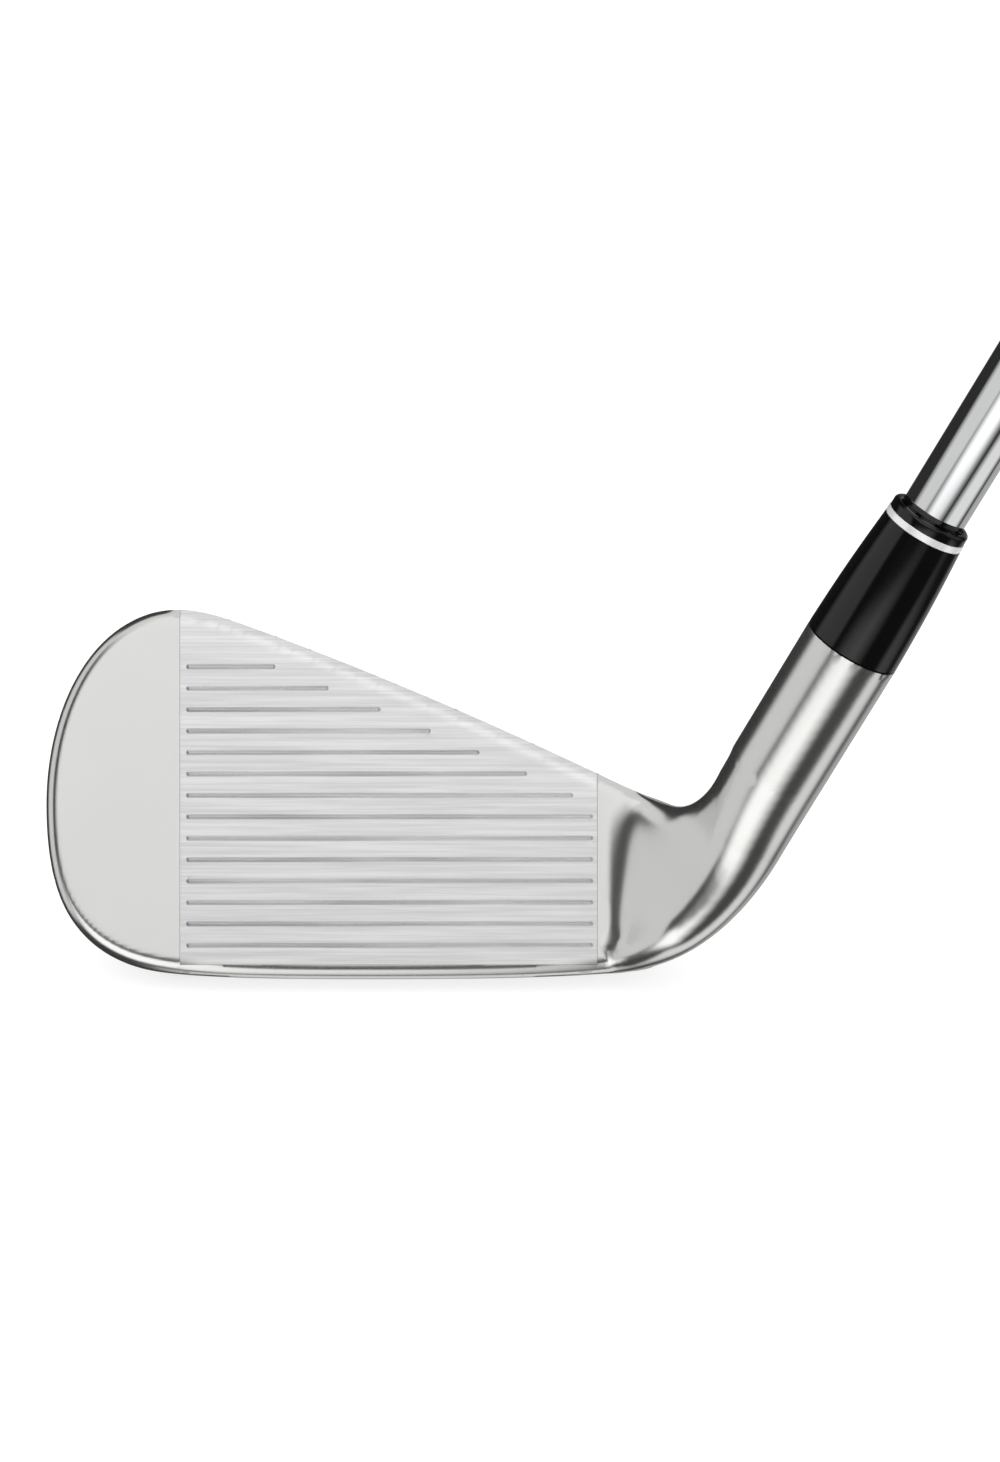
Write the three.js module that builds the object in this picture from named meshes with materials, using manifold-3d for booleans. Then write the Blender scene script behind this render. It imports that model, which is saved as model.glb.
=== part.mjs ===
// Iron golf club, right-handed, standing on its sole in the address position.
//
// Club frame, in millimetres: +X runs from toe to heel, +Y away from the ball, +Z up. The origin is
// the middle of the small flat on the sole's keel, so Z = 0 is the ground.
// Face frame: x as above, y up the face, z out of the face towards the ball. The struck face is z = 0.
// Shaft frame: z up the shaft axis, measured from where the axis meets the ground.

import * as THREE from 'three';
import { ParametricGeometry } from 'three/addons/geometries/ParametricGeometry.js';
import { mergeVertices } from 'three/addons/utils/BufferGeometryUtils.js';
import Module from 'manifold-3d';

// ---------------------------------------------------------------- driving dimensions

const DEG = Math.PI / 180;
const LOFT = 23 * DEG;
const LIE = 62 * DEG;
const CLUB_LENGTH = 965;
const KEEL_SETBACK = 9;
const LEADING_EDGE_OVERHANG = 0.9;
const AXIS_X = 36.4;
const AXIS_SETBACK = 3.75;
const GAP = 0.3;
const SLIP = 0.22;

const HOSEL_RADIUS = 6.75;
const HOSEL_TOP = 57.6;
const BORE_BOTTOM = 29;
const LEADING_EDGE_RADIUS = 2.4;
const TOE_EDGE_RADIUS = 1.8;
const TOPLINE_BEVEL = 1.35;
const BLADE_DEPTH = 24;
const UNDRAFTED_DEPTH = 5.5;
const TOE_DRAFT = 3;
const HEEL_DRAFT = 9;
const TOPLINE_DRAFT = 1.5;

const PLATE = { toe: -29.1, heel: 29.3, bottom: 4.3, top: 60, thickness: 2.6 };
const SCORE = { count: 14, pitch: 3.0, first: 6.8, width: 0.75, depth: 0.45, toe: -28.6, heel: 28.4 };
const SCORE_SLOPE_START = 7;
const SCORE_HEEL_STEP = { first: 2.8, each: 6.35, growth: 0.1 };

const CAVITY = { toe: -39, heel: 29, bottom: 19, floor: 4.4, wall: 4.2, corner: 3 };
const PAD_THICKNESS = 0.8;
const BADGE = { thickness: 1.6, margin: 1.6 };
const TOE_PLUG = { x: -29, setback: 9.5, bottom: 0.8, top: 7.5, radius: 4, chamfer: 0.4 };

const SHAFT = { tip: 4.5, butt: 7.62, parallelTip: 215, steps: 12, pitch: 35.5, wall: 0.45, stepRun: 2 };
const TIP_PLUG = { length: 22, head: 1.6 };
const FERRULE = { bottom: 57.9, length: 18.7, topRadius: 5.75, bow: 0.18 };
const RING = { length: 1.0, radius: 5.72 };
const FERRULE_CAP = { length: 1.6, radius: 5.66, round: 0.5 };
const BAND = { bottom: 607, length: 28, thickness: 0.25 };
const GRIP = { length: 267, mouthRadius: 9.3, capRadius: 13.4, bore: 8.62, mouthBore: 7.92, lip: 9 };
const TAPE = { length: 240, thickness: 0.3 };
const CAP = { height: 5, plug: 18, vent: 1.5, round: 2.4 };

const ROUND_SIDES = 32;
const OUTLINE_STEPS = 104;

// ---------------------------------------------------------------- solids

const manifold = await Module();
manifold.setup();

// Shared vertices merged, empty triangles dropped, and every face turned outwards.
function cleaned(geometry) {
  const bare = geometry.clone();
  bare.deleteAttribute('normal');
  bare.deleteAttribute('uv');
  const merged = mergeVertices(bare, 1e-4);
  const corner = [new THREE.Vector3(), new THREE.Vector3(), new THREE.Vector3()];
  const triangles = [];
  let volume = 0;
  for (let i = 0; i < merged.index.count; i += 3) {
    const triple = [0, 1, 2].map((k) => merged.index.getX(i + k));
    if (new Set(triple).size < 3) continue;
    triangles.push(triple);
    triple.forEach((index, k) => corner[k].fromBufferAttribute(merged.attributes.position, index));
    volume += corner[0].dot(corner[1].clone().cross(corner[2]));
  }
  const ordered = volume < 0 ? triangles.map(([a, b, c]) => [a, c, b]) : triangles;
  merged.setIndex(ordered.flat());
  return merged;
}

function toSolid(geometry) {
  const source = cleaned(geometry);
  const vertProperties = new Float32Array(source.attributes.position.array);
  const triVerts = new Uint32Array(source.index.array);
  return new manifold.Manifold(new manifold.Mesh({ numProp: 3, vertProperties, triVerts }));
}

function toGeometry(solid) {
  const mesh = solid.getMesh();
  const geometry = new THREE.BufferGeometry();
  geometry.setAttribute('position', new THREE.BufferAttribute(mesh.vertProperties, 3));
  geometry.setIndex(new THREE.BufferAttribute(mesh.triVerts, 1));
  geometry.computeVertexNormals();
  return geometry;
}

function placed(geometry, matrix) {
  return geometry.clone().applyMatrix4(matrix);
}

// A closed skin through rings of points, with a flat fan at each end.
function loft(rings) {
  const centre = (ring) => {
    const sum = new THREE.Vector3();
    ring.forEach((p) => sum.add(p));
    return sum.divideScalar(ring.length);
  };
  const count = rings[0].length;
  const rows = [
    rings[0].map(() => centre(rings[0])),
    ...rings,
    rings[0].map(() => centre(rings[rings.length - 1])),
  ];
  const last = rows.length - 1;
  const pick = (u, v, target) => {
    const row = rows[Math.round(v * last)];
    target.copy(row[Math.round(u * count) % count]);
  };
  return new ParametricGeometry(pick, count, last);
}

function box(xMin, xMax, yMin, yMax, zMin, zMax) {
  const geometry = new THREE.BoxGeometry(xMax - xMin, yMax - yMin, zMax - zMin);
  return geometry.translate((xMin + xMax) / 2, (yMin + yMax) / 2, (zMin + zMax) / 2);
}

// A prism of an x, y outline between two z levels of the face frame.
function prism(shape, zMin, zMax, curveSegments = 8) {
  const settings = { depth: zMax - zMin, bevelEnabled: false, curveSegments };
  return new THREE.ExtrudeGeometry(shape, settings).translate(0, 0, zMin);
}

// A turned piece: [radius, height] pairs up the outside and down the bore, on the z axis.
function turned(profile, sides = ROUND_SIDES) {
  const points = profile.map(([radius, height]) => new THREE.Vector2(radius, height));
  points.push(points[0].clone());
  return new THREE.LatheGeometry(points, sides).rotateX(Math.PI / 2);
}

// ---------------------------------------------------------------- frames

const faceToClub = new THREE.Group();
faceToClub.rotation.x = Math.PI / 2 - LOFT;
faceToClub.position.set(
  0,
  -LEADING_EDGE_OVERHANG * Math.cos(LOFT) - KEEL_SETBACK,
  LEADING_EDGE_OVERHANG * Math.sin(LOFT),
);
faceToClub.updateMatrixWorld();

const shaftToClub = new THREE.Group();
shaftToClub.rotation.y = Math.PI / 2 - LIE;
shaftToClub.position.set(AXIS_X, AXIS_SETBACK - KEEL_SETBACK, 0);
shaftToClub.updateMatrixWorld();

const clubToFace = faceToClub.matrixWorld.clone().invert();
const shaftToFace = clubToFace.clone().multiply(shaftToClub.matrixWorld);

const axisFoot = new THREE.Vector3(0, 0, 0).applyMatrix4(shaftToFace);
const axisDirection = new THREE.Vector3(0, 0, 1).transformDirection(shaftToFace);
const axisPoint = (d) => axisFoot.clone().addScaledVector(axisDirection, d);

// The hosel's outer side line, as it lies in the face's x, y plane.
const axisInFace = new THREE.Vector2(axisDirection.x, axisDirection.y).normalize();
const outerNormal = new THREE.Vector2(axisInFace.y, -axisInFace.x);
const outerSide = (d) => {
  const p = axisPoint(d);
  return new THREE.Vector2(p.x, p.y).addScaledVector(outerNormal, HOSEL_RADIUS);
};

// ---------------------------------------------------------------- head outlines, face frame

const heelTangent = outerSide(25.6);

function topAndToe(path) {
  path.bezierCurveTo(17, 36.9, -3, 45.6, -21, 52);
  path.bezierCurveTo(-27.5, 54.3, -32.5, 54.9, -38, 51);
  path.bezierCurveTo(-44.5, 46.3, -48, 36.5, -48, 26.5);
  path.bezierCurveTo(-48, 15, -45.2, 7.6, -37, 4.2);
  path.bezierCurveTo(-31.2, 1.8, -20, 1.5, -5, 1.5);
  path.bezierCurveTo(10, 1.5, 23, 1.6, 32, 2.7);
  return path;
}

const heelCurve = new THREE.CubicBezierCurve(
  new THREE.Vector2(32, 2.7),
  new THREE.Vector2(42.3, 4),
  new THREE.Vector2(49.6, 10.9),
  heelTangent,
);

// The blade alone: its heel end is buried in the heel and hosel.
const bladeOutline = topAndToe(new THREE.Shape().moveTo(35.5, 27.9));
bladeOutline.bezierCurveTo(37, 2.9, 39, 3.7, 41, 5.4);
bladeOutline.lineTo(45.5, 14.5);
bladeOutline.bezierCurveTo(46.5, 19, 45, 23.5, 42.5, 26.3);
bladeOutline.bezierCurveTo(40, 26.6, 38, 26.8, 35.5, 27.9);

// ---------------------------------------------------------------- head body

// Bevel width and edge roundness at an outline point, from its outward normal.
function frontEdge(normal) {
  const down = THREE.MathUtils.smoothstep(-normal.y, 0.25, 0.85);
  const up = THREE.MathUtils.smoothstep(normal.y, 0.35, 0.75);
  const side = 1 - down - up;
  const width = down * LEADING_EDGE_RADIUS + up * TOPLINE_BEVEL + side * TOE_EDGE_RADIUS;
  return { width, roundness: 1 - up };
}

function bladeRings(outline) {
  const points = outline.getSpacedPoints(OUTLINE_STEPS).slice(0, -1);
  const count = points.length;
  const normals = points.map((_, i) => {
    const along = points[(i + 1) % count].clone().sub(points[(i + count - 1) % count]).normalize();
    return new THREE.Vector2(along.y, -along.x);
  });
  const level = (inset, depth) => points.map((p, i) => {
    const n = normals[i];
    const edge = frontEdge(n);
    const reach = inset(edge);
    const z = -depth(edge);
    const draft = Math.max(0, -z - UNDRAFTED_DEPTH) / BLADE_DEPTH;
    const sideDraft = n.x < 0 ? TOE_DRAFT : HEEL_DRAFT;
    const x = p.x - n.x * (reach + sideDraft * draft * Math.abs(n.x));
    const rise = BLADE_DEPTH * Math.tan(LOFT) * Math.max(0, -n.y) - TOPLINE_DRAFT * Math.max(0, n.y);
    return new THREE.Vector3(x, p.y - n.y * reach + draft * rise, z);
  });
  const halfway = (edge) => 1 - THREE.MathUtils.lerp(0.5, Math.SQRT1_2, edge.roundness);
  return [
    level((e) => e.width, () => 0),
    level((e) => e.width * halfway(e), (e) => e.width * halfway(e)),
    level(() => 0, (e) => e.width),
    level(() => 0, () => UNDRAFTED_DEPTH),
    level(() => 0, () => BLADE_DEPTH),
  ];
}

// Sole and back, as a section at right angles to x. It is drawn in the club's Y, Z with Y measured
// from the leading edge, and it runs well past the face, which it leaves alone.
function backProfile() {
  const shape = new THREE.Shape().moveTo(-12, 1.6);
  shape.lineTo(0, 1.6);
  shape.quadraticCurveTo(3.2, 0.3, KEEL_SETBACK - 2, 0);
  shape.lineTo(KEEL_SETBACK + 2, 0);
  shape.quadraticCurveTo(15, 0.25, 18, 1.2);
  shape.quadraticCurveTo(20.4, 2.1, 20, 4.8);
  shape.bezierCurveTo(19, 9.5, 16.4, 9.5, 15.6, 13);
  shape.lineTo(26.5, 47.8);
  shape.lineTo(26.5, 70);
  shape.lineTo(-12, 70);
  shape.closePath();
  return shape;
}

function backPrism() {
  const halfWidth = 70;
  const geometry = new THREE.ExtrudeGeometry(backProfile(), {
    depth: 2 * halfWidth,
    bevelEnabled: false,
    curveSegments: 7,
  });
  const toClub = new THREE.Matrix4().makeBasis(
    new THREE.Vector3(0, 1, 0),
    new THREE.Vector3(0, 0, 1),
    new THREE.Vector3(1, 0, 0),
  );
  toClub.setPosition(-halfWidth, -KEEL_SETBACK, 0);
  return placed(geometry, clubToFace.clone().multiply(toClub));
}

// The heel tube: it leaves the leading edge at the edge's own radius, swells as it follows the heel
// round, and becomes the straight hosel.
const HEEL_RINGS = 14;

function heelCentre(s) {
  const outline = heelCurve.getPointAt(s);
  const along = heelCurve.getTangentAt(s);
  const radius = THREE.MathUtils.lerp(LEADING_EDGE_RADIUS, HOSEL_RADIUS, s);
  const end = axisPoint(25.6);
  const depth = THREE.MathUtils.lerp(-LEADING_EDGE_RADIUS, end.z, s * s);
  const centre = new THREE.Vector3(outline.x - along.y * radius, outline.y + along.x * radius, depth);
  return { centre, radius };
}

function circleRing(centre, direction, radius, sides = ROUND_SIDES) {
  const side = new THREE.Vector3().crossVectors(new THREE.Vector3(0, 0, 1), direction).normalize();
  const other = new THREE.Vector3().crossVectors(direction, side);
  return Array.from({ length: sides }, (_, i) => {
    const angle = (2 * Math.PI * i) / sides;
    return centre.clone()
      .addScaledVector(side, radius * Math.cos(angle))
      .addScaledVector(other, radius * Math.sin(angle));
  });
}

function hoselAndHeel() {
  const rings = [];
  for (let i = 0; i <= HEEL_RINGS; i += 1) {
    const s = i / HEEL_RINGS;
    const here = heelCentre(s);
    const step = 0.01;
    const ahead = heelCentre(Math.min(1, s + step)).centre;
    const behind = heelCentre(Math.max(0, s - step)).centre;
    rings.push(circleRing(here.centre, ahead.sub(behind).normalize(), here.radius));
  }
  rings.push(circleRing(axisPoint(34), axisDirection, HOSEL_RADIUS));
  rings.push(circleRing(axisPoint(HOSEL_TOP), axisDirection, HOSEL_RADIUS));
  return loft(rings);
}

// The flank: the ramp that climbs from the valley beside the face to the front of the hosel, touching
// the tube at a tangent. Above the valley its foot follows the crotch between topline and hosel.
const valley = new THREE.CubicBezierCurve3(
  new THREE.Vector3(32.5, 3.6, -0.05),
  new THREE.Vector3(31, 10, -0.05),
  new THREE.Vector3(32, 20, -0.05),
  new THREE.Vector3(36.5, 27.2, -0.05),
);
const crotch = new THREE.CubicBezierCurve3(
  new THREE.Vector3(36.5, 27.2, -0.05),
  new THREE.Vector3(40.2, 25.6, 1.5),
  new THREE.Vector3(43.2, 26.8, 3.5),
  new THREE.Vector3(46.4, 33.2, 6.5),
);

function tubeStations() {
  const stations = [];
  for (const s of [0.1, 0.2, 0.3, 0.4, 0.5, 0.6, 0.7, 0.8, 0.9]) {
    const { centre, radius } = heelCentre(s);
    stations.push({ centre, radius, along: heelCentre(s + 0.02).centre.sub(centre).normalize() });
  }
  for (const d of [25.6, 28, 30.5, 33, 36]) {
    stations.push({ centre: axisPoint(d), radius: HOSEL_RADIUS, along: axisDirection });
  }
  return stations;
}

function flank() {
  const footLine = [...valley.getPoints(300), ...crotch.getPoints(300)];
  const offPlane = (p, { centre, along }) => Math.abs(p.clone().sub(centre).dot(along));
  const rings = tubeStations().map((station) => {
    const { centre, radius, along } = station;
    const foot = footLine.reduce((a, b) => (offPlane(b, station) < offPlane(a, station) ? b : a));
    const toFoot = foot.clone().sub(centre).projectOnPlane(along);
    const distance = Math.max(toFoot.length(), radius * 1.001);
    const forward = new THREE.Vector3().crossVectors(toFoot, along).normalize();
    if (forward.z < 0) forward.negate();
    const turn = Math.acos(radius / distance);
    const crest = centre.clone()
      .addScaledVector(toFoot.normalize(), radius * Math.cos(turn))
      .addScaledVector(forward, radius * Math.sin(turn));
    const ramp = [0, 0.2, 0.4, 0.6, 0.8, 1].map((t) => foot.clone().lerp(crest, t));
    return [...ramp, centre, foot.clone().add(new THREE.Vector3(0, -0.3, -4))];
  });
  return loft(rings);
}

function cavityOutline(wall, bottomLift) {
  const c = CAVITY;
  const left = c.toe + wall;
  const right = c.heel - wall;
  const bottom = c.bottom + bottomLift;
  const shape = new THREE.Shape().moveTo(left + c.corner, bottom);
  shape.lineTo(right - c.corner, bottom);
  shape.quadraticCurveTo(right, bottom, right, bottom + c.corner);
  shape.lineTo(right, 27.2 - wall);
  shape.bezierCurveTo(14, 34 - wall, -4, 41.9 - wall, -21, 47.3 - wall);
  shape.bezierCurveTo(-26.5, 49.2 - wall, -31, 49.6 - wall, left + 4.5, 46 - wall);
  shape.bezierCurveTo(left + 1.5, 42 - wall, left, 36, left, bottom + 2 * c.corner);
  shape.quadraticCurveTo(left, bottom, left + c.corner, bottom);
  return shape;
}

function plateBox(grow) {
  const p = PLATE;
  return box(p.toe - grow, p.heel + grow, p.bottom - grow, p.top, -p.thickness - grow, 5);
}

// A turned plug standing in the sole, in the club frame.
function toePlug(grow, bottom, top) {
  const { x, setback, chamfer } = TOE_PLUG;
  const radius = TOE_PLUG.radius + grow;
  const profile = [
    [0, bottom],
    [radius - chamfer, bottom],
    [radius, bottom + chamfer],
    [radius, top],
    [0, top],
  ];
  return turned(profile, 24).translate(x, setback - KEEL_SETBACK, 0);
}

const bore = turned([[0, BORE_BOTTOM], [SHAFT.tip + GAP, BORE_BOTTOM + 1], [SHAFT.tip + GAP, 80], [0, 80]]);
const plugSeat = placed(toePlug(GAP, -10, TOE_PLUG.top + GAP), clubToFace);

const blade = toSolid(loft(bladeRings(bladeOutline))).intersect(toSolid(backPrism()));
const headBody = blade
  .add(toSolid(hoselAndHeel()))
  .add(toSolid(flank()))
  .subtract(toSolid(placed(bore, shaftToFace)))
  .subtract(toSolid(prism(cavityOutline(0, 0), -40, -CAVITY.floor)))
  .subtract(toSolid(plateBox(GAP)))
  .subtract(toSolid(plugSeat));

// ---------------------------------------------------------------- face plate

function scoreLine(index) {
  const y = SCORE.first + index * SCORE.pitch;
  const beyond = index - SCORE_SLOPE_START + 1;
  const { first, each, growth } = SCORE_HEEL_STEP;
  const shorter = beyond <= 0 ? 0 : first + each * (beyond - 1) + growth * (beyond - 1) ** 2;
  const heel = SCORE.heel - shorter;
  const middle = (SCORE.toe + heel) / 2;
  const geometry = new THREE.CylinderGeometry(SCORE.width / 2, SCORE.width / 2, heel - SCORE.toe, 6);
  geometry.rotateZ(Math.PI / 2).scale(1, 1, (2 * SCORE.depth) / SCORE.width);
  return geometry.translate(middle, y, 0);
}

function facePlate() {
  let plate = blade.intersect(toSolid(plateBox(0)));
  for (let i = 0; i < SCORE.count; i += 1) plate = plate.subtract(toSolid(scoreLine(i)));
  return plate;
}

// ---------------------------------------------------------------- cavity pieces

const padTop = -CAVITY.floor - GAP;
const badgeTop = padTop - PAD_THICKNESS - GAP;
const padPrism = prism(cavityOutline(BADGE.margin + 0.8, 2.2), padTop - PAD_THICKNESS, padTop);
const badgePrism = prism(cavityOutline(BADGE.margin, 1.4), badgeTop - BADGE.thickness, badgeTop);

// ---------------------------------------------------------------- shaft line pieces

const shaftBottom = BORE_BOTTOM + 1 + GAP;
const gripTop = CLUB_LENGTH - CAP.height;
const gripMouth = CLUB_LENGTH - GRIP.length;
const shaftTop = gripTop - 2;

function shaftRadius(step) {
  return SHAFT.tip + ((SHAFT.butt - SHAFT.tip) * step) / SHAFT.steps;
}

function shaft() {
  const start = shaftBottom + SHAFT.parallelTip;
  const outside = [[SHAFT.tip, shaftBottom]];
  const inside = [[SHAFT.tip - SHAFT.wall, shaftBottom]];
  for (let step = 1; step <= SHAFT.steps; step += 1) {
    const height = start + (step - 1) * SHAFT.pitch;
    outside.push([shaftRadius(step - 1), height], [shaftRadius(step), height + SHAFT.stepRun]);
  }
  inside.push([SHAFT.tip - SHAFT.wall, start], [SHAFT.butt - SHAFT.wall, start + SHAFT.steps * SHAFT.pitch]);
  outside.push([SHAFT.butt, shaftTop]);
  inside.push([SHAFT.butt - SHAFT.wall, shaftTop]);
  return turned([...outside, ...inside.reverse()]);
}

// The brass plug that trims the head's weight, pushed up the shaft tip.
function tipPlug() {
  const radius = SHAFT.tip - SHAFT.wall - SLIP;
  const bottom = shaftBottom + 1;
  const top = bottom + TIP_PLUG.length;
  const profile = [
    [0, bottom],
    [radius, bottom],
    [radius, top - TIP_PLUG.head],
    [radius * 0.7, top],
    [0, top],
  ];
  return turned(profile, 24);
}

function ferruleBody() {
  const { bottom, length, topRadius, bow } = FERRULE;
  const outside = [];
  const rows = 5;
  for (let i = 0; i <= rows; i += 1) {
    const s = i / rows;
    const radius = THREE.MathUtils.lerp(HOSEL_RADIUS, topRadius, s) + bow * Math.sin(Math.PI * s);
    outside.push([radius, bottom + s * length]);
  }
  const inner = SHAFT.tip + SLIP;
  return turned([[inner, bottom], ...outside, [inner, bottom + length]]);
}

const ringBottom = FERRULE.bottom + FERRULE.length + SLIP;
const capBottom = ringBottom + RING.length + SLIP;

function ferruleRing() {
  const inner = SHAFT.tip + SLIP;
  const top = ringBottom + RING.length;
  return turned([[inner, ringBottom], [RING.radius, ringBottom], [RING.radius, top], [inner, top]]);
}

function ferruleCap() {
  const inner = SHAFT.tip + SLIP;
  const { length, radius, round } = FERRULE_CAP;
  const top = capBottom + length;
  return turned([
    [inner, capBottom],
    [radius, capBottom],
    [radius, top - round],
    [radius - round, top],
    [inner, top],
  ]);
}

function shaftBand() {
  const inner = shaftRadius(11) + SLIP;
  const outer = inner + BAND.thickness;
  const top = BAND.bottom + BAND.length;
  return turned([[inner, BAND.bottom], [outer, BAND.bottom], [outer, top], [inner, top]]);
}

function gripTape() {
  const inner = SHAFT.butt + SLIP;
  const outer = inner + TAPE.thickness;
  const top = shaftTop - 1;
  return turned([[inner, top - TAPE.length], [outer, top - TAPE.length], [outer, top], [inner, top]]);
}

// The grip swells slowly from its mouth and faster near the hand's heel.
function gripRadius(s) {
  return THREE.MathUtils.lerp(GRIP.mouthRadius, GRIP.capRadius, 0.62 * s + 0.38 * s ** 4);
}

function gripSleeve() {
  const rows = 10;
  const outside = [];
  for (let i = 0; i <= rows; i += 1) {
    const s = i / rows;
    outside.push([gripRadius(s), THREE.MathUtils.lerp(gripMouth, gripTop - GAP, s)]);
  }
  const inside = [
    [GRIP.bore, gripTop - GAP],
    [GRIP.bore, gripMouth + GRIP.lip + 1],
    [GRIP.mouthBore, gripMouth + GRIP.lip],
    [GRIP.mouthBore, gripMouth],
  ];
  return turned([...outside, ...inside]);
}

// The end cap: a flat button with the vent hole that lets solvent out when the grip is fitted.
function gripCap() {
  const { height, plug, vent, round } = CAP;
  const base = gripTop;
  const top = base + height;
  const spigot = SHAFT.butt - SHAFT.wall - GAP;
  const profile = [
    [vent, base - plug],
    [spigot - 0.5, base - plug],
    [spigot, base - plug + 1],
    [spigot, base],
    [GRIP.capRadius, base],
    [GRIP.capRadius, top - round],
    [GRIP.capRadius - 0.3 * round, top - 0.3 * round],
    [GRIP.capRadius - round, top],
    [vent, top],
  ];
  return turned(profile);
}

// ---------------------------------------------------------------- assembly

function addPiece(group, name, geometry, color, roughness, metalness) {
  const material = new THREE.MeshStandardMaterial({ color, roughness, metalness });
  const mesh = new THREE.Mesh(cleaned(geometry), material);
  mesh.geometry.computeVertexNormals();
  mesh.name = name;
  group.add(mesh);
}

const group = new THREE.Group();
group.add(faceToClub, shaftToClub);

addPiece(faceToClub, 'head_body', toGeometry(headBody), 0xc9c8c2, 0.25, 1);
addPiece(faceToClub, 'face_plate', toGeometry(facePlate()), 0xd6d7da, 0.45, 1);
addPiece(group, 'toe_weight', toePlug(0, TOE_PLUG.bottom, TOE_PLUG.top), 0x8f9094, 0.4, 1);
addPiece(faceToClub, 'cavity_badge', badgePrism, 0x2c2d30, 0.4, 0.2);
addPiece(faceToClub, 'badge_damping_pad', padPrism, 0x1a1a1a, 0.9, 0);
addPiece(shaftToClub, 'ferrule_body', ferruleBody(), 0x0c0c0d, 0.12, 0);
addPiece(shaftToClub, 'ferrule_ring', ferruleRing(), 0xe4e4e2, 0.2, 1);
addPiece(shaftToClub, 'ferrule_cap', ferruleCap(), 0x0c0c0d, 0.12, 0);
addPiece(shaftToClub, 'shaft', shaft(), 0xe0e2e4, 0.06, 1);
addPiece(shaftToClub, 'tip_weight_plug', tipPlug(), 0xb08d4f, 0.35, 1);
addPiece(shaftToClub, 'shaft_band', shaftBand(), 0x8d9196, 0.4, 0.6);
addPiece(shaftToClub, 'grip_tape', gripTape(), 0xcfc6ae, 0.9, 0);
addPiece(shaftToClub, 'grip_sleeve', gripSleeve(), 0x1b1b1d, 0.85, 0);
addPiece(shaftToClub, 'grip_end_cap', gripCap(), 0x222224, 0.8, 0);

export default group;
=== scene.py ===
"""Looks of an iron golf club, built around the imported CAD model.

Shapes are worked out in millimetres in three frames that part.mjs shares. The club frame is the row
frame: x from toe to heel, y away from the ball, z up, z = 0 the ground. The face frame has y up the
face and z out of it, with the struck face at z = 0. The shaft frame has z up the shaft axis, from
where the axis meets the ground. Meshes are then scaled to metres.
"""

import math

import bpy
import numpy as np
from mathutils import Matrix, Vector


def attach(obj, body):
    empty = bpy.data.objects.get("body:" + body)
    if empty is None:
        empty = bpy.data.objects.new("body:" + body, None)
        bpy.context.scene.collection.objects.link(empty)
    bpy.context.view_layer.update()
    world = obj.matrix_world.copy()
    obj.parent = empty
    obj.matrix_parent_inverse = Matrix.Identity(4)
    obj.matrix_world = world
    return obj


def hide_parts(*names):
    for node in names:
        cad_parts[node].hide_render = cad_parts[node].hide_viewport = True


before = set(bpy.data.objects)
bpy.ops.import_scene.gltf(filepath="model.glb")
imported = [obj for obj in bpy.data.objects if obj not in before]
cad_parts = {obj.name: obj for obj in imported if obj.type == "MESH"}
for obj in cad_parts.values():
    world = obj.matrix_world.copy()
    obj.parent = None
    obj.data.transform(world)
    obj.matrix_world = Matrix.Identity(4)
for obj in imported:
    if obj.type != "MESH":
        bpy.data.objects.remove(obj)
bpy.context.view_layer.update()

MM = 0.001

# ------------------------------------------------------------------ driving dimensions, mm

LOFT = math.radians(23)
LIE = math.radians(62)
CLUB_LENGTH = 965
KEEL_SETBACK = 9
LEADING_EDGE_OVERHANG = 0.9
AXIS_X = 36.4
AXIS_SETBACK = 3.75

HOSEL_RADIUS = 6.75
HOSEL_TOP = 57.6
BORE_BOTTOM = 29
BORE_RADIUS = 4.6
LEADING_EDGE_RADIUS = 2.4
TOE_EDGE_RADIUS = 1.8
BEVEL_WIDTH = 1.3
BEVEL_DEPTH = 0.85
UNDRAFTED_DEPTH = 5.5
TOE_DRAFT = 0.125
HEEL_DRAFT = 0.35

PLATE_TOE, PLATE_HEEL, PLATE_BOTTOM, PLATE_THICKNESS = -29.1, 29.3, 4.1, 2.6
SEAM = 0.045
SCORES, SCORE_PITCH, SCORE_FIRST = 14, 3.0, 6.8
SCORE_TOE, SCORE_HEEL, SCORE_WIDTH, SCORE_DEPTH = -28.6, 28.4, 0.72, 0.55
# The lowest rows run full length. Above them each row ends further from the heel.
FULL_SCORES, SHORTER_FIRST, SHORTER_EACH, SHORTER_GROWTH = 7, 2.8, 6.35, 0.1

# Soft steps along the blade, as [from, to].
LOW_TO_HIGH, LEADING_EDGE_BAND = (10, 34), (3, 14)
TOE_SIDE, HEEL_SIDE = (-46, -22), (28, 42)
BEVEL_TOE_END, BEVEL_LOW_END, BEVEL_HEEL_END = (-32, -29), (18, 25), (35, 43)

CELL = 0.6
SIDES = 120

# ------------------------------------------------------------------ frames

cos_l, sin_l = math.cos(LOFT), math.sin(LOFT)
FACE_AXES = np.array([[1, 0, 0], [0, sin_l, cos_l], [0, -cos_l, sin_l]])
FACE_ORIGIN = np.array([
    0,
    -LEADING_EDGE_OVERHANG * cos_l - KEEL_SETBACK,
    LEADING_EDGE_OVERHANG * sin_l,
])
SHAFT_AXES = np.array([[math.sin(LIE), 0, -math.cos(LIE)], [0, 1, 0], [math.cos(LIE), 0, math.sin(LIE)]])
SHAFT_ORIGIN = np.array([AXIS_X, AXIS_SETBACK - KEEL_SETBACK, 0])


def frame_matrix(axes, origin):
    """A 4 x 4 matrix from a local frame in metres to the club frame in metres."""
    matrix = Matrix(axes.T.tolist()).to_4x4()
    matrix.translation = Vector(origin * MM)
    return matrix


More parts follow.
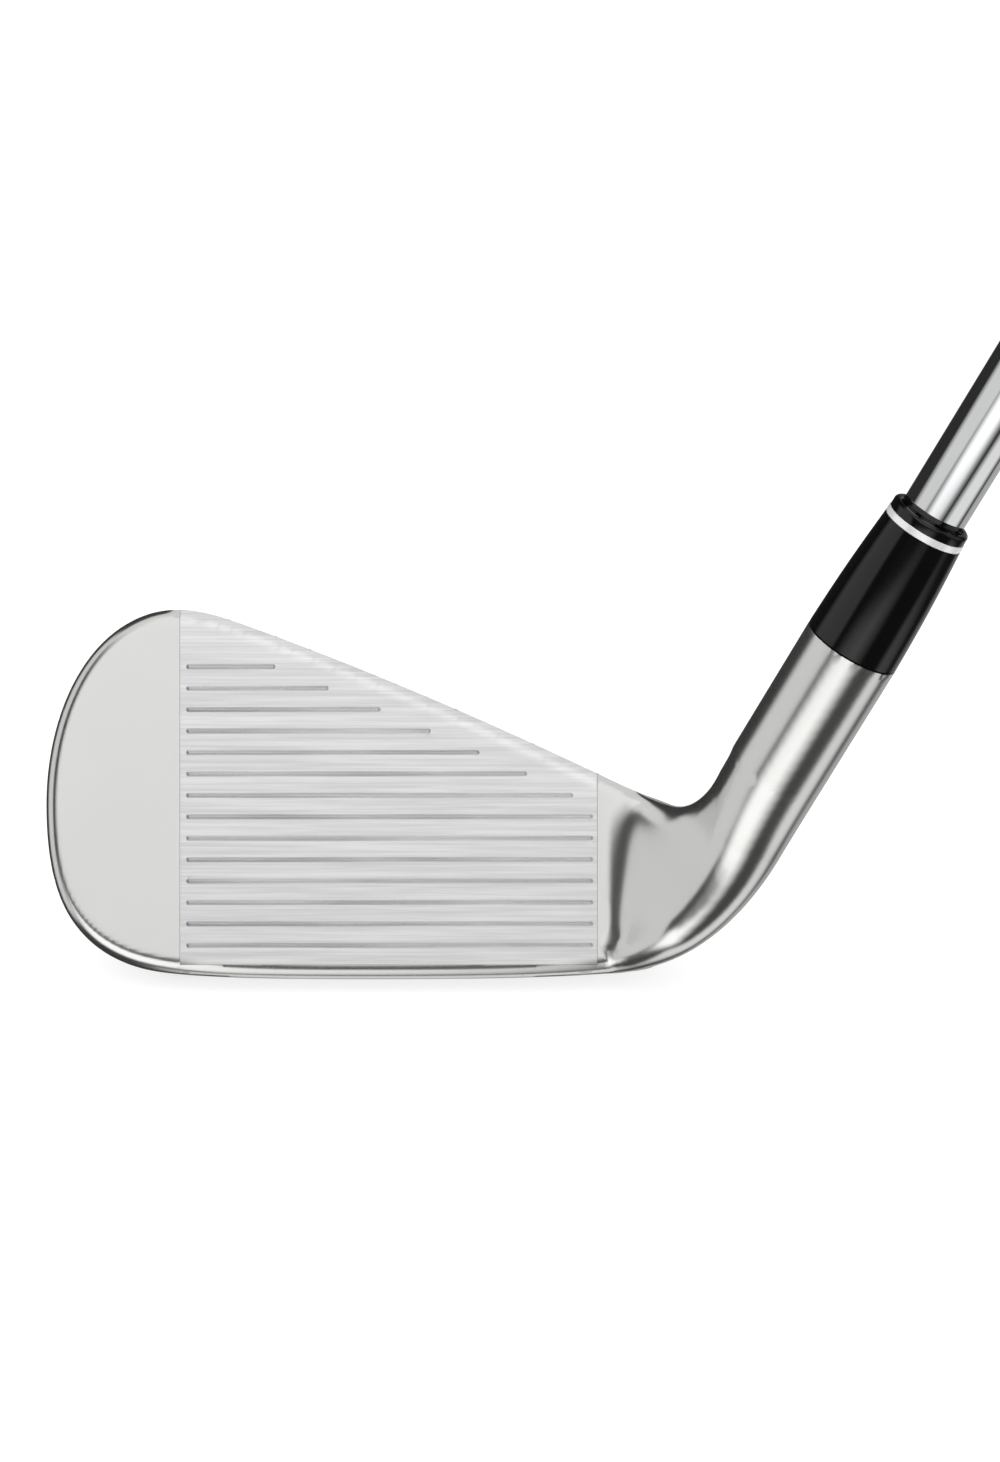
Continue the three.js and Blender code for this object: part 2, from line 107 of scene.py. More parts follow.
FACE = (FACE_AXES, FACE_ORIGIN)
SHAFT = (SHAFT_AXES, SHAFT_ORIGIN)
FACE_TURN = (LOFT - math.pi / 2, 0, 0)
SHAFT_TURN = (0, LIE - math.pi / 2, 0)

axis_foot = FACE_AXES @ (SHAFT_ORIGIN - FACE_ORIGIN)
axis_dir = FACE_AXES @ SHAFT_AXES[2]
outward = np.array([axis_dir[1], -axis_dir[0]]) / math.hypot(axis_dir[0], axis_dir[1])


def axis_point(d):
    return axis_foot + axis_dir * d


def outer_side(d):
    """The hosel's outer side line, as it lies in the face's x, y plane."""
    return axis_point(d)[:2] + outward * HOSEL_RADIUS


# ------------------------------------------------------------------ curves

def bezier(points, count):
    """Points along a chain of cubic Bezier curves: a start, then three points for each curve."""
    points = np.array(points, float)
    rows = []
    t = np.linspace(0, 1, count, endpoint=False)[:, None]
    for k in range(0, len(points) - 1, 3):
        a, b, c, d = points[k:k + 4]
        rows.append((1 - t) ** 3 * a + 3 * (1 - t) ** 2 * t * b + 3 * (1 - t) * t * t * c + t ** 3 * d)
    return np.vstack(rows + [points[-1:]])


def smooth(low, high, value):
    t = np.clip((value - low) / (high - low), 0, 1)
    return t * t * (3 - 2 * t)


BLADE_OUTLINE = [
    (35.5, 27.9), (17, 36.9), (-3, 45.6), (-21, 52),
    (-27.5, 54.3), (-32.5, 54.9), (-38, 51),
    (-44.5, 46.3), (-48, 36.5), (-48, 26.5),
    (-48, 15), (-45.2, 7.6), (-37, 4.2),
    (-31.2, 1.8), (-20, 1.5), (-5, 1.5),
    (10, 1.5), (23, 1.6), (32, 2.7),
    (36, 3.2), (39.5, 4.6), (41.5, 7),
    (46, 12.5), (46.5, 21), (42.5, 24.8),
    (40.4, 26.2), (38, 26.8), (35.5, 27.9),
]
# Foot of the ramp beside the face, then of the web between topline and hosel: place and radius.
VALLEY = [(35.2, 5, -1.4, 1.2), (34.2, 7, -1, 1), (33, 12.2, -1, 1), (33, 18.2, -1, 1)]
CROTCH = [
    (33, 18.2, -1, 1), (33, 20.6, -1, 1), (32.9, 22.8, -1, 1),
    (33.2, 24.5, -1, 1), (33.6, 26.4, -1, 1.2), (35.8, 25.7, -0.9, 2.0),
    (38.2, 24.5, -0.5, 2.4), (42.2, 22.6, 1.2, 2.5), (46, 26.4, 4.4, 2.5), (50, 32.6, 7.5, 2.5),
]

# Sole and back at right angles to x: distance behind the leading edge, height.
BACK_OUTLINE = [
    (-14, 1.2), (-9, 1.2), (-5, 1.2), (0, 1.2),
    (3.2, 0.9), (5, 0), (9, 0),
    (13, 0), (16.5, 0.4), (18.3, 1.2),
    (20.2, 2.0), (20.6, 3.2), (20.2, 4.8),
    (19.2, 9), (16.6, 9.5), (15.7, 13),
    (19.3, 24.7), (22.9, 36.3), (26.5, 48),
    (27.5, 52), (27.5, 60), (27.5, 72),
    (10, 72), (0, 72), (-14, 72),
    (-14, 50), (-14, 20), (-14, 1.2),
]


# ------------------------------------------------------------------ distance fields, mm

class FlatField:
    """Signed distance to a closed flat outline, kept on a lattice and read back bicubically."""

    def __init__(self, outline, low, high, step):
        self.low, self.step = np.array(low, float), step
        self.size = np.ceil((np.array(high) - self.low) / step).astype(int) + 1
        xs = self.low[0] + step * np.arange(self.size[0])
        ys = self.low[1] + step * np.arange(self.size[1])
        grid = np.stack(np.meshgrid(xs, ys, indexing="ij"), -1).reshape(-1, 2)
        start = outline
        along = np.roll(outline, -1, 0) - outline
        keep = (along ** 2).sum(1) > 1e-12
        start, along = start[keep], along[keep]
        length2 = (along ** 2).sum(1)
        values = np.empty(len(grid))
        for k in range(0, len(grid), 4000):
            offset = grid[k:k + 4000, None] - start
            t = np.clip((offset * along).sum(2) / length2, 0, 1)
            gap = offset - t[..., None] * along
            values[k:k + 4000] = np.sqrt((gap ** 2).sum(2).min(1))
        inside = np.zeros(len(grid), bool)
        end = start + along
        for (x0, y0), (x1, y1) in zip(start, end):
            if y0 == y1:
                continue
            crosses = (grid[:, 1] >= min(y0, y1)) & (grid[:, 1] < max(y0, y1))
            inside ^= crosses & (grid[:, 0] < x0 + (grid[:, 1] - y0) * (x1 - x0) / (y1 - y0))
        values[inside] *= -1
        self.values = values.reshape(self.size)

    def __call__(self, x, y):
        u = np.clip((x - self.low[0]) / self.step, 1, self.size[0] - 3.001)
        v = np.clip((y - self.low[1]) / self.step, 1, self.size[1] - 3.001)
        i, j = u.astype(int), v.astype(int)
        wu, wv = self.weights(u - i), self.weights(v - j)
        total = 0
        for a in range(4):
            row = sum(wv[b] * self.values[i + a - 1, j + b - 1] for b in range(4))
            total = total + wu[a] * row
        return total

    @staticmethod
    def weights(t):
        return (
            0.5 * (-t ** 3 + 2 * t ** 2 - t),
            0.5 * (3 * t ** 3 - 5 * t ** 2 + 2),
            0.5 * (-3 * t ** 3 + 4 * t ** 2 + t),
            0.5 * (t ** 3 - t ** 2),
        )


def round_max(a, b, radius):
    """Intersection of two fields with a rounded edge."""
    u = np.maximum(a + radius, 0)
    v = np.maximum(b + radius, 0)
    return np.minimum(np.maximum(a, b), -radius) + np.sqrt(u * u + v * v)


def gradient(field, p):
    """Unit gradient of a field at points, by a small tetrahedron of samples."""
    reach = 0.02
    corners = np.array([[1, -1, -1], [-1, -1, 1], [-1, 1, -1], [1, 1, 1]], float)
    total = sum(corner * field(p + corner * reach)[:, None] for corner in corners)
    return total / np.maximum(np.linalg.norm(total, axis=1), 1e-12)[:, None]


outline_field = FlatField(bezier(BLADE_OUTLINE, 90), (-56, -8), (60, 62), 0.3)
back_field = FlatField(bezier(BACK_OUTLINE, 60), (-20, -8), (40, 78), 0.3)


def behind_edge(y, z):
    """Distance behind the leading edge and height, from the face frame."""
    sunk = z + LEADING_EDGE_OVERHANG
    return y * sin_l - sunk * cos_l, y * cos_l + sunk * sin_l


def blade(p):
    """The blade: rounded leading and toe edges, a bevel along the topline, drafted sides, the back."""
    x, y, z = p.T
    depth = np.maximum(0, -z - UNDRAFTED_DEPTH)
    low = 1 - smooth(*LOW_TO_HIGH, y)
    toe = 1 - smooth(*TOE_SIDE, x)
    heel = smooth(*HEEL_SIDE, x)
    x2 = x - depth * TOE_DRAFT * toe + depth * HEEL_DRAFT * heel
    y2 = y - depth * math.tan(LOFT) * low + depth * 0.06 * (1 - low)
    edge = outline_field(x2, y2)
    up = smooth(*BEVEL_TOE_END, x) * smooth(*BEVEL_LOW_END, y)
    down = 1 - smooth(*LEADING_EDGE_BAND, y)
    radius = TOE_EDGE_RADIUS + (LEADING_EDGE_RADIUS - TOE_EDGE_RADIUS) * down
    rounded = round_max(edge, z, radius)
    fading = 0.7 * smooth(*BEVEL_HEEL_END, x)
    slope = math.hypot(BEVEL_WIDTH, BEVEL_DEPTH)
    bevel = (edge * BEVEL_DEPTH + z * BEVEL_WIDTH + BEVEL_WIDTH * BEVEL_DEPTH) / slope - fading
    chamfered = round_max(round_max(edge, z, 0.05), bevel, 0.12)
    front = rounded * (1 - up) + chamfered * up
    back_y, back_z = behind_edge(y, z)
    squeeze = 1 + 0.03 * np.maximum(0, x - 20) + 0.006 * np.maximum(0, -25 - x)
    camber = 0.0004 * x * x
    past_keel = back_y - KEEL_SETBACK
    squeezed = np.where(past_keel > 0, KEEL_SETBACK + past_keel * squeeze, back_y)
    back = back_field(squeezed, back_z - camber * (back_z < 20))
    return round_max(front, back, 1.3)


# The heel tube leaves the straight hosel axis by a lift that grows over LIFT_RUN, and sinks under the
# face over SINK_RUN, where its run starts.
HEEL_LIFT, LIFT_RUN = 6.1, 40
HEEL_SINK, SINK_RUN = 2.6, 12
HEEL_SWELL = 0.122
BEND_END, RISE_END = 25.6, 38
STRAIGHT_FROM = 36


class HeelSweep:
    """The heel tube and flank: a rounded wedge swept from the leading edge, round the heel, up the
    hosel. Each section is the hull of a ball on the tube's centre line and one on the ramp's foot."""

    COUNT = 360

    def __init__(self):
        lead = bezier([(30.2, 3.5), (30.8, 3.1), (31.4, 2.72), (32, 2.7)], 6)[:-1]
        bend = bezier([(32, 2.7), (42.3, 4), (49.6, 10.9), tuple(outer_side(BEND_END))], 120)[:-1]
        heights = np.linspace(BEND_END, RISE_END, 30)
        rise = np.array([outer_side(d) for d in heights])
        side = np.vstack([lead, bend, rise])
        along = np.gradient(side, axis=0)
        along /= np.linalg.norm(along, axis=1)[:, None]
        inward = np.stack([-along[:, 1], along[:, 0]], 1)
        run = np.concatenate([[0], np.cumsum(np.linalg.norm(np.diff(side, axis=0), axis=1))])
        run -= run[len(lead)]
        taper = HOSEL_RADIUS - LEADING_EDGE_RADIUS - HEEL_SWELL * np.maximum(run, 0)
        knee = 0.4 * (1 - smooth(36, 45, run))
        radius = HOSEL_RADIUS - (taper + np.sqrt(taper ** 2 + knee ** 2)) / 2
        end = axis_point(STRAIGHT_FROM)[2]
        rate = axis_dir[2] / math.hypot(axis_dir[0], axis_dir[1])
        back = np.interp(STRAIGHT_FROM, heights, run[-len(heights):]) - run
        f = np.clip(back / LIFT_RUN, 0, 1)
        lift = HEEL_LIFT * (10 * f ** 3 - 15 * f ** 4 + 6 * f ** 5)
        sunk = HEEL_SINK * (1 - smooth(0, SINK_RUN, run)) + np.maximum(0, -run)
        depth = end - rate * back + lift - sunk
        tube = np.column_stack([side + inward * radius[:, None], depth, radius])
        foot = np.vstack([bezier(VALLEY, 80)[:-1], bezier(CROTCH, 80)])
        foot_run = np.concatenate([[0], np.cumsum(np.linalg.norm(np.diff(foot[:, :3], axis=0), axis=1))])
        t = np.linspace(0, 1, self.COUNT + 1)
        stations = run[0] + t * (run[-1] - run[0])
        self.tube = np.column_stack([np.interp(stations, run, column) for column in tube.T])
        foot_stations = t ** 1.15 * foot_run[-1]
        self.foot = np.column_stack([np.interp(foot_stations, foot_run, column) for column in foot.T])

    def __call__(self, p):
        out = np.empty(len(p))
        for k in range(0, len(p), 40000):
            out[k:k + 40000] = self.nearest(p[k:k + 40000])
        return out

    def wedge(self, p, t):
        """Distance from points to the hull of the two balls at station t."""
        k = np.minimum(t.astype(int), self.COUNT - 1)
        w = (t - k)[..., None]
        tube = self.tube[k] * (1 - w) + self.tube[k + 1] * w
        foot = self.foot[k] * (1 - w) + self.foot[k + 1] * w
        radius, foot_radius = tube[..., 3], foot[..., 3]
        arm = foot[..., :3] - tube[..., :3]
        q = p - tube[..., :3]
        length = np.sqrt((arm * arm).sum(-1))
        height = np.maximum(length, (radius - foot_radius) * 1.0005)
        py = (q * arm).sum(-1) / length
        px = np.sqrt(np.maximum((q * q).sum(-1) - py * py, 0))
        slope = (radius - foot_radius) / height
        level = np.sqrt(1 - slope * slope)
        k = level * py - slope * px
        base = np.sqrt(px * px + py * py) - radius
        tip = np.sqrt(px * px + (py - height) ** 2) - foot_radius
        wall = px * level + py * slope - radius
        return np.where(k < 0, base, np.where(k > level * height, tip, wall))

    def off_tube(self, p):
        """Distance from points to the tube without its ramp."""
        out = np.full(len(p), np.inf)
        for x, y, z, radius in self.tube[::3]:
            out = np.minimum(out, np.linalg.norm(p - (x, y, z), axis=1) - radius)
        return out

    def nearest(self, p):
        coarse = np.arange(0, self.COUNT + 1, 12.0)
        best, where = np.full(len(p), np.inf), np.zeros(len(p))
        for t in coarse:
            value = self.wedge(p, np.full(len(p), t))
            better = value < best
            best[better], where[better] = value[better], t
        low, high = np.maximum(where - 12, 0), np.minimum(where + 12, self.COUNT)
        golden = 0.618034
        a, b = high - golden * (high - low), low + golden * (high - low)
        fa, fb = self.wedge(p, a), self.wedge(p, b)
        for _ in range(11):
            left = fa < fb
            high, low = np.where(left, b, high), np.where(left, low, a)
            new = np.where(left, high - golden * (high - low), low + golden * (high - low))
            value = self.wedge(p, new)
            a, b, fa, fb = (np.where(left, new, b), np.where(left, a, new),
                            np.where(left, value, fb), np.where(left, fa, value))
        return np.minimum(best, np.minimum(fa, fb))


heel_sweep = HeelSweep()


def hosel(p):
    q = p - axis_foot
    d = q @ axis_dir
    tube = np.linalg.norm(q - d[:, None] * axis_dir, axis=1) - HOSEL_RADIUS
    out = np.maximum(tube, STRAIGHT_FROM - d)
    low = d < STRAIGHT_FROM + 10
    out[low] = np.minimum(out[low], heel_sweep(p[low]))
    return np.maximum(out, d - HOSEL_TOP)


FILLET_RADIUS, FILLET_START = 7.5, (29, 32.5)
FILLET_REACH, DEEP_FILLET_REACH = 1.8, 5


def joined(p):
    """Blade and hosel with a fillet where they meet. It fades out towards the strike face."""
    a = blade(p)
    near = (p[:, 0] > 25)
    out = a.copy()
    if not near.any():
        return out
    b = hosel(p[near])
    a_near = a[near]
    both = np.minimum(a_near, b)
    close = (np.abs(a_near - b) < 9) & (np.abs(both) < 6)
    if close.any():
        q = p[near][close]
        turn = 1 - (gradient(blade, q) * gradient(hosel, q)).sum(1)
        radius = FILLET_RADIUS * smooth(*FILLET_START, q[:, 0] + 0.5 * np.maximum(0, q[:, 1] - 5))
        reach = FILLET_REACH + (DEEP_FILLET_REACH - FILLET_REACH) * smooth(1, 5, -q[:, 2])
        k = np.clip(radius * turn, 1e-6, reach)
        h = np.maximum(k - np.abs(a_near[close] - b[close]), 0) / k
        both[close] -= h * h * k / 4
    out[near] = both
    return out


# ------------------------------------------------------------------ back cavity, bore, sole details

def cavity_outline(inset, lift):
    left, right, bottom, corner = -39 + inset, 29 - inset, 19 + lift, 3.5
    return [
        (left + corner, bottom), (left + 10, bottom), (right - 10, bottom), (right - corner, bottom),
        (right - 1, bottom), (right, bottom + 1), (right, bottom + corner),
        (right, 25 - inset), (right, 26.4 - inset), (right - 2, 27.6 - inset),
        (14, 34.6 - inset), (-4, 42.5 - inset), (-21, 47.9 - inset),
        (-26.5, 49.7 - inset), (-31, 49.9 - inset), (left + 4.5, 46 - inset),
        (left + 1.2, 42 - inset), (left, 36), (left, bottom + 2 * corner),
        (left, bottom + 2), (left + 1, bottom), (left + corner, bottom),
    ]


CAVITY_FLOOR, CAVITY_FLARE, CAVITY_ROUND, CAVITY_RIM = 4.4, 0.12, 0.8, 0.7
cavity_field = FlatField(bezier(cavity_outline(0, 0), 40), (-56, 2), (45, 62), 0.4)
PLUG_X, PLUG_SETBACK, PLUG_RADIUS = -29, 9.5, 4.0
PLUG_BOTTOM, PLUG_TOP, PLUG_CHAMFER = 0.8, 7.5, 0.4
PLUG_CLEARANCE, PLUG_SEAT_TOP = 0.06, 7.6


def head(p):
    """The whole head with its cavity, hosel bore and plug seat."""
    f = joined(p)
    x, y, z = p.T
    flare = CAVITY_FLARE * np.maximum(0, -z - CAVITY_FLOOR)
    pocket = round_max(cavity_field(x, y) - flare, z + CAVITY_FLOOR, CAVITY_ROUND)
    f = round_max(f, -pocket, CAVITY_RIM)
    q = p - axis_foot
    d = q @ axis_dir
    bore = np.maximum(np.linalg.norm(q - d[:, None] * axis_dir, axis=1) - BORE_RADIUS, BORE_BOTTOM - d)
    f = np.maximum(f, -bore)
    back_y, back_z = behind_edge(y, z)
    seat = np.hypot(x - PLUG_X, back_y - PLUG_SETBACK) - PLUG_RADIUS - PLUG_CLEARANCE
    return np.maximum(f, -np.maximum(seat, back_z - PLUG_SEAT_TOP))


# ------------------------------------------------------------------ surface of a field

def sampled(field, low, size, cell):
    """The field on a grid, worked out only in blocks that the surface may pass through."""
    block = 4
    blocks = -(-size // block)
    places = [np.arange(n) * block + (block - 1) / 2 for n in blocks]
    middles = np.stack(np.meshgrid(*places, indexing="ij"), -1)
    values = field(low + middles.reshape(-1, 3) * cell).reshape(blocks)
    reach = 1.6 * cell * block * math.sqrt(3) / 2
    for axis in range(3):
        values = np.repeat(values, block, axis)
    values = np.ascontiguousarray(values[:size[0], :size[1], :size[2]])
    near = np.abs(values) < reach
    index = np.argwhere(near)
    values[near] = field(low + index * cell)
    return values


def dual_contour(field, low, high, cell):
    """Vertices and quads of the field's zero surface. Edges keep their sharpness."""
    low = np.array(low, float)
    size = np.ceil((np.array(high) - low) / cell).astype(int) + 1
    values = sampled(field, low, size, cell)
    solid = values < 0
    gather = []
    for axis in range(3):
        step = np.eye(3, dtype=int)[axis]
        a = solid[:size[0] - step[0], :size[1] - step[1], :size[2] - step[2]]
        b = solid[step[0]:, step[1]:, step[2]:]
        edges = np.argwhere(a != b)
        start = low + edges * cell
        v0 = values[tuple(edges.T)]
        v1 = values[tuple((edges + step).T)]
        t0, t1 = np.zeros(len(edges)), np.ones(len(edges))
        t = v0 / (v0 - v1)
        for _ in range(4):
            v = field(start + t[:, None] * step * cell)
            same = (v < 0) == (v0 < 0)
            t0, v0 = np.where(same, t, t0), np.where(same, v, v0)
            t1, v1 = np.where(same, t1, t), np.where(same, v1, v)
            t = t0 + (t1 - t0) * np.clip(v0 / np.where(v0 == v1, 1, v0 - v1), 0.02, 0.98)
        point = start + t[:, None] * step * cell
        gather.append((axis, edges, point, gradient(field, point), a[tuple(edges.T)]))
    cells = size - 1
    quads, owners, points, normals = [], [], [], []
    for axis, edges, point, normal, inside in gather:
        b, c = [(1, 2), (2, 0), (0, 1)][axis]
        corners = []
        for db, dc in [(-1, -1), (0, -1), (0, 0), (-1, 0)]:
            neighbour = edges.copy()
            neighbour[:, b] += db
            neighbour[:, c] += dc
            corners.append((neighbour[:, 0] * cells[1] + neighbour[:, 1]) * cells[2] + neighbour[:, 2])
            owners.append(corners[-1])
            points.append(point)
            normals.append(normal)
        quad = np.stack(corners, 1)
        quads.append(np.where(inside[:, None], quad, quad[:, ::-1]))
    owners, points, normals = np.concatenate(owners), np.vstack(points), np.vstack(normals)
    names, owner = np.unique(owners, return_inverse=True)
    count = np.bincount(owner)
    mean = np.stack([np.bincount(owner, points[:, k]) for k in range(3)], 1) / count[:, None]
    offset = (normals * (points - mean[owner])).sum(1)
    matrix = np.empty((len(names), 3, 3))
    right = np.empty((len(names), 3))
    for i in range(3):
        right[:, i] = np.bincount(owner, normals[:, i] * offset)
        for j in range(3):
            matrix[:, i, j] = np.bincount(owner, normals[:, i] * normals[:, j])
    matrix += 0.03 * np.eye(3)
    shift = np.linalg.solve(matrix, right[..., None])[..., 0]
    column, row = names // (cells[1] * cells[2]), names // cells[2] % cells[1]
    corner = low + np.stack([column, row, names % cells[2]], 1) * cell
    vertices = np.clip(mean + shift, corner, corner + cell)
    place = np.searchsorted(names, np.concatenate(quads))
    return vertices, place


# ------------------------------------------------------------------ mesh helpers

ROOT = "root"


def new_object(name, vertices, faces, place, sharp=30):
    """A mesh object from millimetre points in a local frame."""
    axes, origin = place
    points = (np.asarray(vertices, float) @ axes + origin) * MM
    mesh = bpy.data.meshes.new(name)
    mesh.from_pydata(points.tolist(), [], [list(map(int, f)) for f in faces])
    mesh.validate()
    obj = bpy.data.objects.new(name, mesh)
    bpy.context.scene.collection.objects.link(obj)
    shade(obj, sharp)
    return obj


def shade(obj, sharp):
    mesh = obj.data
    mesh.polygons.foreach_set("use_smooth", [True] * len(mesh.polygons))
    mesh.set_sharp_from_angle(angle=math.radians(sharp))
    mesh.update()


def lathe(profile, sides):
    """Turned closed surface about z from [radius, height] pairs. Radius 0 closes on the axis."""
    vertices, rings = [], []
    for radius, height in profile:
        if radius < 1e-9:
            rings.append([len(vertices)] * sides)
            vertices.append((0, 0, height))
            continue
        rings.append(list(range(len(vertices), len(vertices) + sides)))
        for k in range(sides):
            angle = 2 * math.pi * k / sides
            vertices.append((radius * math.cos(angle), radius * math.sin(angle), height))
    faces = []
    for lower, upper in zip(rings, rings[1:] + rings[:1]):
        for k in range(sides):
            m = (k + 1) % sides
            face = [lower[k], lower[m], upper[m], upper[k]]
            face = [v for n, v in enumerate(face) if v not in face[:n]]
            if len(face) > 2:
                faces.append(face)
    return vertices, faces


def cut(obj, cutter, operation="DIFFERENCE"):
    modifier = obj.modifiers.new("cut", "BOOLEAN")
    modifier.operation = operation
    modifier.solver = "EXACT"
    modifier.object = cutter
    graph = bpy.context.evaluated_depsgraph_get()
    mesh = bpy.data.meshes.new_from_object(obj.evaluated_get(graph))
    obj.modifiers.clear()
    old = obj.data
    obj.data = mesh
    mesh.name = obj.name
    bpy.data.meshes.remove(old)


def discard(obj):
    mesh = obj.data
    bpy.data.objects.remove(obj)
    bpy.data.meshes.remove(mesh)


def box_faces(low, high):
    corners = [(x, y, z) for x in (low[0], high[0]) for y in (low[1], high[1]) for z in (low[2], high[2])]
    faces = [(0, 1, 3, 2), (4, 6, 7, 5), (0, 4, 5, 1), (2, 3, 7, 6), (0, 2, 6, 4), (1, 5, 7, 3)]
    return corners, faces


def finish_piece(obj, material, node):
    obj.data.materials.clear()
    obj.data.materials.append(material)
    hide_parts(node)
    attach(obj, ROOT)


# ------------------------------------------------------------------ materials

def node_material(name, colour, metallic, roughness, **sockets):
    material = bpy.data.materials.new(name)
    material.use_nodes = True
    shader = material.node_tree.nodes["Principled BSDF"]
    shader.inputs["Base Color"].default_value = (*colour, 1)
    shader.inputs["Metallic"].default_value = metallic
    shader.inputs["Roughness"].default_value = roughness
    for key, value in sockets.items():
        shader.inputs[key.replace("_", " ")].default_value = value
    return material, shader


class Nodes:
    """Short forms for the few node shapes that the materials share."""

    def __init__(self, material, turn=FACE_TURN):
        self.tree = material.node_tree
        coordinates = self.tree.nodes.new("ShaderNodeTexCoord").outputs["Object"]
        mapping = self.add("ShaderNodeMapping", {"Vector": coordinates, "Rotation": turn})
        self.turned = mapping.outputs["Vector"]

    def add(self, kind, links=None, **settings):
        node = self.tree.nodes.new(kind)
        for key, value in settings.items():
            setattr(node, key, value)
        for key, value in (links or {}).items():
            socket = node.inputs[key]
            if isinstance(value, bpy.types.NodeSocket):
                self.tree.links.new(value, socket)
            else:
                socket.default_value = value
        return node

    def scaled(self, scale):
        mapping = self.add("ShaderNodeMapping", {"Vector": self.turned, "Scale": scale})
        return mapping.outputs["Vector"]

    def noise(self, scale, detail=3, stretch=(1, 1, 1), roughness=0.5):
        inputs = {"Vector": self.scaled(stretch), "Scale": scale, "Detail": detail, "Roughness": roughness}
        return self.add("ShaderNodeTexNoise", inputs).outputs["Fac"]

    def spread(self, value, low, high):
        node = self.add("ShaderNodeMapRange", {"Value": value, "To Min": low, "To Max": high})
        return node.outputs["Result"]

    def contrast(self, value, low, high):
        node = self.add("ShaderNodeMapRange", {"Value": value, "From Min": low, "From Max": high})
        return node.outputs["Result"]

    def tint(self, value, dark, light):
        node = self.add("ShaderNodeMix", {"Factor": value}, data_type="RGBA")
        node.inputs[6].default_value = (*dark, 1)
        node.inputs[7].default_value = (*light, 1)
        return node.outputs[2]

    def bump(self, height, distance, strength=1.0, normal=None):
        inputs = {"Height": height, "Distance": distance, "Strength": strength}
        if normal is not None:
            inputs["Normal"] = normal
        return self.add("ShaderNodeBump", inputs).outputs["Normal"]

    def link(self, value, socket):
        self.tree.links.new(value, socket)


def head_steel():
    material, shader = node_material("head_steel", (0.78, 0.775, 0.75), 1, 0.2)
    n = Nodes(material)
    cloud = n.noise(60, 4)
    n.link(n.tint(cloud, (0.755, 0.752, 0.735), (0.80, 0.797, 0.78)), shader.inputs["Base Color"])
    grain = n.noise(9000, 3, (0.35, 1, 1))
    n.link(n.spread(grain, 0.17, 0.25), shader.inputs["Roughness"])
    n.link(n.bump(grain, 0.000003, 0.5), shader.inputs["Normal"])
    return material


def face_steel():
    """Milled steel: fine lines along the face, of uneven depth."""
    material, shader = node_material("face_steel", (0.78, 0.78, 0.785), 1, 0.36)
    n = Nodes(material)
    streaks = n.contrast(n.noise(2400, 3, (0.02, 1, 0.02), 0.6), 0.36, 0.64)
    fine = n.noise(5200, 2, (0.03, 1, 0.02), 0.6)
    wide = n.noise(420, 2, (0.01, 1, 0.02), 0.5)
    n.link(n.tint(streaks, (0.78, 0.78, 0.785), (0.94, 0.94, 0.943)), shader.inputs["Base Color"])
    n.link(n.spread(wide, 0.26, 0.37), shader.inputs["Roughness"])
    lines = n.bump(streaks, 0.000005, 0.5)
    n.link(n.bump(fine, 0.000004, 0.5, lines), shader.inputs["Normal"])
    return material


def black_gloss():
    material, shader = node_material("ferrule_plastic", (0.0015, 0.0015, 0.0017), 0, 0.12, IOR=1.5)
    n = Nodes(material, SHAFT_TURN)
    turned = n.noise(3000, 2, (0.02, 0.02, 1))
    n.link(n.spread(turned, 0.09, 0.16), shader.inputs["Roughness"])
    n.link(n.bump(turned, 0.0000015, 0.5), shader.inputs["Normal"])
    return material


def bright_ring():
    material, shader = node_material("ring_aluminium", (0.76, 0.76, 0.76), 0.35, 0.35)
    n = Nodes(material, SHAFT_TURN)
    turned = n.noise(4000, 2, (0.02, 0.02, 1))
    n.link(n.spread(turned, 0.14, 0.26), shader.inputs["Roughness"])
    n.link(n.bump(turned, 0.000002, 0.5), shader.inputs["Normal"])
    return material


def shaft_chrome():
    material, shader = node_material("shaft_chrome", (0.83, 0.835, 0.84), 1, 0.05)
    n = Nodes(material, SHAFT_TURN)
    haze = n.noise(90, 4)
    n.link(n.tint(haze, (0.81, 0.815, 0.825), (0.85, 0.855, 0.86)), shader.inputs["Base Color"])
    n.link(n.spread(haze, 0.03, 0.06), shader.inputs["Roughness"])
    return material


def tungsten():
    material, shader = node_material("tungsten", (0.36, 0.36, 0.37), 1, 0.38)
    n = Nodes(material)
    grain = n.noise(5000, 4)
    n.link(n.tint(grain, (0.31, 0.31, 0.32), (0.42, 0.42, 0.43)), shader.inputs["Base Color"])
    n.link(n.bump(grain, 0.000006, 0.6), shader.inputs["Normal"])
    return material


def badge_plastic():
    """Dark moulded plastic with fine slanting lines."""
    material, shader = node_material("badge_plastic", (0.02, 0.02, 0.022), 0, 0.35)
    n = Nodes(material, (FACE_TURN[0], 0, math.radians(35)))
    inputs = {"Vector": n.turned, "Scale": 260, "Distortion": 0}
    lines = n.add("ShaderNodeTexWave", inputs, wave_type="BANDS", bands_direction="X").outputs["Fac"]
    grain = n.noise(3500, 3)
    n.link(n.tint(lines, (0.014, 0.014, 0.015), (0.034, 0.034, 0.037)), shader.inputs["Base Color"])
    n.link(n.spread(grain, 0.3, 0.42), shader.inputs["Roughness"])
    n.link(n.bump(lines, 0.00006, 0.6), shader.inputs["Normal"])
    return material


